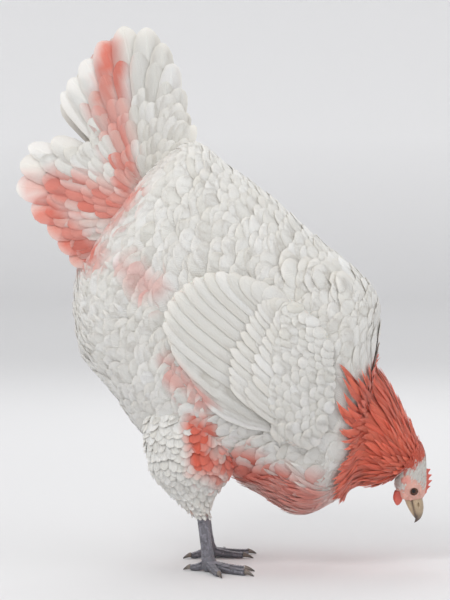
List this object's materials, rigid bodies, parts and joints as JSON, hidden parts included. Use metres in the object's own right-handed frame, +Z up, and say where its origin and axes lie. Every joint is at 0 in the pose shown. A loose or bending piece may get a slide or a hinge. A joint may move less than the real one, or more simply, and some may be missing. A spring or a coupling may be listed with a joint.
{
  "type": "hen",
  "caption": "Life-size still model of a white hen with a rust-red hackle, tail raised and head lowered to the ground to feed.",
  "frame": {"origin": "on the ground, under the middle of the hen's outline box", "axes": "+X the way the hen faces, +Y to the hen's own left, +Z up"},
  "size_m": [0.3934, 0.2112, 0.5123],
  "materials": {
    "plumage": "matte white to cream feathers",
    "hackle": "silky rust-red neck feathers",
    "skin": "red bare skin, finely pebbled",
    "eye": "wet dark brown",
    "horn": "satin pale horn",
    "scales": "slate-grey horny plates"
  },
  "bodies": {
    "root": {"torso": "plumage", "wing_left": "plumage", "wing_right": "plumage", "tail": "plumage", "thigh_left": "plumage", "thigh_right": "plumage", "neck": "hackle", "head": "skin", "comb": "skin", "wattle_left": "skin", "wattle_right": "skin", "eye_left": "eye", "eye_right": "eye", "bill_upper": "horn", "bill_lower": "horn", "claw_hind_left": "horn", "claw_inner_left": "horn", "claw_middle_left": "horn", "claw_outer_left": "horn", "claw_hind_right": "horn", "claw_inner_right": "horn", "claw_middle_right": "horn", "claw_outer_right": "horn", "shank_left": "scales", "shank_right": "scales", "foot_left": "scales", "foot_right": "scales"}
  },
  "joints": []
}
